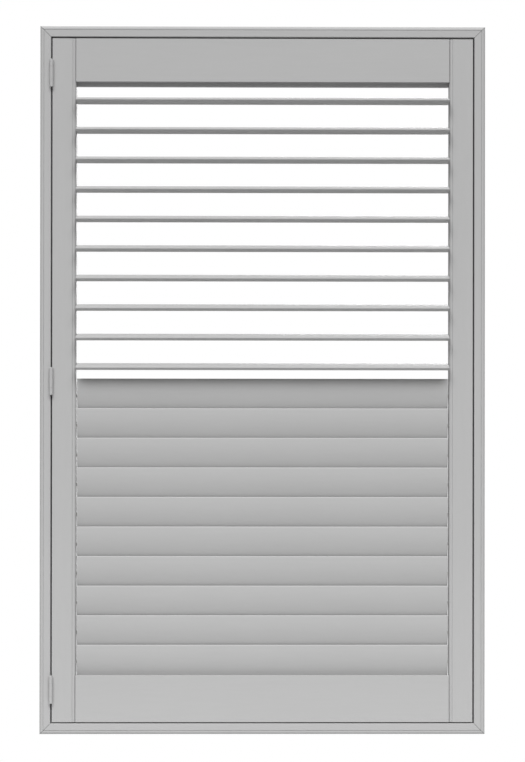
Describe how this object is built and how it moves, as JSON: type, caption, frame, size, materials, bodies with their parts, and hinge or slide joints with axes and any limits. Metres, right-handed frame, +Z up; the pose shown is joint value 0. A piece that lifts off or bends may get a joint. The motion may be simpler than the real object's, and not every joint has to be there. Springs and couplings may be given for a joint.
{
  "type": "louvred window shutter",
  "caption": "Painted louvred shutter panel hinged in its own mitred frame, with two banks of tilting louvres geared together inside the stile.",
  "frame": {"origin": "middle of the frame's back, on the wall plane, at the centre of its wall fixings", "axes": "+X right, +Y into the wall, +Z up; the front faces -Y"},
  "size_m": [0.9546, 0.076, 1.5178],
  "materials": {
    "frame_paint": "satin painted timber",
    "panel_paint": "satin painted timber",
    "louvre_paint": "satin painted timber",
    "hinge_paint": "satin paint over steel",
    "bright_steel": "zinc plated",
    "nylon": "moulded nylon",
    "key_plastic": "moulded",
    "magnet": "sintered, dull"
  },
  "bodies": {
    "frame": {"frame_left": "frame_paint", "frame_right": "frame_paint", "frame_top": "frame_paint", "frame_bottom": "frame_paint", "corner_keys": "key_plastic", "catch_magnets": "magnet", "hinge_frame_leaves": "hinge_paint", "hinge_pins": "hinge_paint", "hinge_screws_frame": "bright_steel"},
    "panel": {"stile_left": "panel_paint", "stile_right": "panel_paint", "rail_top": "panel_paint", "rail_bottom": "panel_paint", "channel_cover": "panel_paint", "strike_plates": "bright_steel", "hinge_panel_leaves": "hinge_paint", "hinge_screws_panel": "bright_steel"},
    "louvre_01": {"louvre_01": "louvre_paint", "louvre_pins_01": "nylon"},
    "louvre_02": {"louvre_02": "louvre_paint", "louvre_pins_02": "nylon"},
    "louvre_03": {"louvre_03": "louvre_paint", "louvre_pins_03": "nylon"},
    "louvre_04": {"louvre_04": "louvre_paint", "louvre_pins_04": "nylon"},
    "louvre_05": {"louvre_05": "louvre_paint", "louvre_pins_05": "nylon"},
    "louvre_06": {"louvre_06": "louvre_paint", "louvre_pins_06": "nylon"},
    "louvre_07": {"louvre_07": "louvre_paint", "louvre_pins_07": "nylon"},
    "louvre_08": {"louvre_08": "louvre_paint", "louvre_pins_08": "nylon"},
    "louvre_09": {"louvre_09": "louvre_paint", "louvre_pins_09": "nylon"},
    "louvre_10": {"louvre_10": "louvre_paint", "louvre_pins_10": "nylon"},
    "louvre_11": {"louvre_11": "louvre_paint", "louvre_pins_11": "nylon"},
    "louvre_12": {"louvre_12": "louvre_paint", "louvre_pins_12": "nylon"},
    "louvre_13": {"louvre_13": "louvre_paint", "louvre_pins_13": "nylon"},
    "louvre_14": {"louvre_14": "louvre_paint", "louvre_pins_14": "nylon"},
    "louvre_15": {"louvre_15": "louvre_paint", "louvre_pins_15": "nylon"},
    "louvre_16": {"louvre_16": "louvre_paint", "louvre_pins_16": "nylon"},
    "louvre_17": {"louvre_17": "louvre_paint", "louvre_pins_17": "nylon"},
    "louvre_18": {"louvre_18": "louvre_paint", "louvre_pins_18": "nylon"},
    "louvre_19": {"louvre_19": "louvre_paint", "louvre_pins_19": "nylon"},
    "louvre_20": {"louvre_20": "louvre_paint", "louvre_pins_20": "nylon"},
    "rack_upper": {"rack_upper": "nylon"},
    "rack_lower": {"rack_lower": "nylon"}
  },
  "joints": [
    {"name": "panel_swing", "type": "hinge", "parent": "frame", "child": "panel", "pos_m": [-0.4525, -0.0481, 0], "axis": [0, 0, -1], "range_deg": [0, 170]},
    {"name": "louvre_01_tilt", "type": "hinge", "parent": "panel", "child": "louvre_01", "pos_m": [0, -0.03, 0.60045], "axis": [-1, 0, 0], "range_deg": [-41, 86.5]},
    {"name": "louvre_02_tilt", "type": "hinge", "parent": "panel", "child": "louvre_02", "pos_m": [0, -0.03, 0.53695], "axis": [-1, 0, 0], "range_deg": [-41.05, 86.55]},
    {"name": "louvre_03_tilt", "type": "hinge", "parent": "panel", "child": "louvre_03", "pos_m": [0, -0.03, 0.47345], "axis": [-1, 0, 0], "range_deg": [-41.05, 86.55]},
    {"name": "louvre_04_tilt", "type": "hinge", "parent": "panel", "child": "louvre_04", "pos_m": [0, -0.03, 0.40995], "axis": [-1, 0, 0], "range_deg": [-41.05, 86.55]},
    {"name": "louvre_05_tilt", "type": "hinge", "parent": "panel", "child": "louvre_05", "pos_m": [0, -0.03, 0.34645], "axis": [-1, 0, 0], "range_deg": [-41.05, 86.55]},
    {"name": "louvre_06_tilt", "type": "hinge", "parent": "panel", "child": "louvre_06", "pos_m": [0, -0.03, 0.28295], "axis": [-1, 0, 0], "range_deg": [-41.05, 86.55]},
    {"name": "louvre_07_tilt", "type": "hinge", "parent": "panel", "child": "louvre_07", "pos_m": [0, -0.03, 0.21945], "axis": [-1, 0, 0], "range_deg": [-41.05, 86.55]},
    {"name": "louvre_08_tilt", "type": "hinge", "parent": "panel", "child": "louvre_08", "pos_m": [0, -0.03, 0.15595], "axis": [-1, 0, 0], "range_deg": [-41.05, 86.55]},
    {"name": "louvre_09_tilt", "type": "hinge", "parent": "panel", "child": "louvre_09", "pos_m": [0, -0.03, 0.09245], "axis": [-1, 0, 0], "range_deg": [-41.05, 86.55]},
    {"name": "louvre_10_tilt", "type": "hinge", "parent": "panel", "child": "louvre_10", "pos_m": [0, -0.03, 0.02895], "axis": [-1, 0, 0], "range_deg": [-41.05, 86.55]},
    {"name": "rack_upper_slide", "type": "slide", "parent": "panel", "child": "rack_upper", "axis": [0, 0, 1], "range_m": [-0.00757, 0.0036]},
    {"name": "louvre_11_tilt", "type": "hinge", "parent": "panel", "child": "louvre_11", "pos_m": [0, -0.03, -0.03455], "axis": [-1, 0, 0], "range_deg": [-127.5, 0]},
    {"name": "louvre_12_tilt", "type": "hinge", "parent": "panel", "child": "louvre_12", "pos_m": [0, -0.03, -0.09805], "axis": [-1, 0, 0], "range_deg": [-127.55, 0.05]},
    {"name": "louvre_13_tilt", "type": "hinge", "parent": "panel", "child": "louvre_13", "pos_m": [0, -0.03, -0.16155], "axis": [-1, 0, 0], "range_deg": [-127.55, 0.05]},
    {"name": "louvre_14_tilt", "type": "hinge", "parent": "panel", "child": "louvre_14", "pos_m": [0, -0.03, -0.22505], "axis": [-1, 0, 0], "range_deg": [-127.55, 0.05]},
    {"name": "louvre_15_tilt", "type": "hinge", "parent": "panel", "child": "louvre_15", "pos_m": [0, -0.03, -0.28855], "axis": [-1, 0, 0], "range_deg": [-127.55, 0.05]},
    {"name": "louvre_16_tilt", "type": "hinge", "parent": "panel", "child": "louvre_16", "pos_m": [0, -0.03, -0.35205], "axis": [-1, 0, 0], "range_deg": [-127.55, 0.05]},
    {"name": "louvre_17_tilt", "type": "hinge", "parent": "panel", "child": "louvre_17", "pos_m": [0, -0.03, -0.41555], "axis": [-1, 0, 0], "range_deg": [-127.55, 0.05]},
    {"name": "louvre_18_tilt", "type": "hinge", "parent": "panel", "child": "louvre_18", "pos_m": [0, -0.03, -0.47905], "axis": [-1, 0, 0], "range_deg": [-127.55, 0.05]},
    {"name": "louvre_19_tilt", "type": "hinge", "parent": "panel", "child": "louvre_19", "pos_m": [0, -0.03, -0.54255], "axis": [-1, 0, 0], "range_deg": [-127.55, 0.05]},
    {"name": "louvre_20_tilt", "type": "hinge", "parent": "panel", "child": "louvre_20", "pos_m": [0, -0.03, -0.60605], "axis": [-1, 0, 0], "range_deg": [-127.55, 0.05]},
    {"name": "rack_lower_slide", "type": "slide", "parent": "panel", "child": "rack_lower", "axis": [0, 0, 1], "range_m": [-0.00002, 0.01115]}
  ],
  "couplings": [
    {"joint": "louvre_02_tilt", "follows": "louvre_01_tilt", "ratio": 1},
    {"joint": "louvre_03_tilt", "follows": "louvre_01_tilt", "ratio": 1},
    {"joint": "louvre_04_tilt", "follows": "louvre_01_tilt", "ratio": 1},
    {"joint": "louvre_05_tilt", "follows": "louvre_01_tilt", "ratio": 1},
    {"joint": "louvre_06_tilt", "follows": "louvre_01_tilt", "ratio": 1},
    {"joint": "louvre_07_tilt", "follows": "louvre_01_tilt", "ratio": 1},
    {"joint": "louvre_08_tilt", "follows": "louvre_01_tilt", "ratio": 1},
    {"joint": "louvre_09_tilt", "follows": "louvre_01_tilt", "ratio": 1},
    {"joint": "louvre_10_tilt", "follows": "louvre_01_tilt", "ratio": 1},
    {"joint": "rack_upper_slide", "follows": "louvre_01_tilt", "m_per_rad": -0.005},
    {"joint": "louvre_12_tilt", "follows": "louvre_11_tilt", "ratio": 1},
    {"joint": "louvre_13_tilt", "follows": "louvre_11_tilt", "ratio": 1},
    {"joint": "louvre_14_tilt", "follows": "louvre_11_tilt", "ratio": 1},
    {"joint": "louvre_15_tilt", "follows": "louvre_11_tilt", "ratio": 1},
    {"joint": "louvre_16_tilt", "follows": "louvre_11_tilt", "ratio": 1},
    {"joint": "louvre_17_tilt", "follows": "louvre_11_tilt", "ratio": 1},
    {"joint": "louvre_18_tilt", "follows": "louvre_11_tilt", "ratio": 1},
    {"joint": "louvre_19_tilt", "follows": "louvre_11_tilt", "ratio": 1},
    {"joint": "louvre_20_tilt", "follows": "louvre_11_tilt", "ratio": 1},
    {"joint": "rack_lower_slide", "follows": "louvre_11_tilt", "m_per_rad": -0.005}
  ]
}
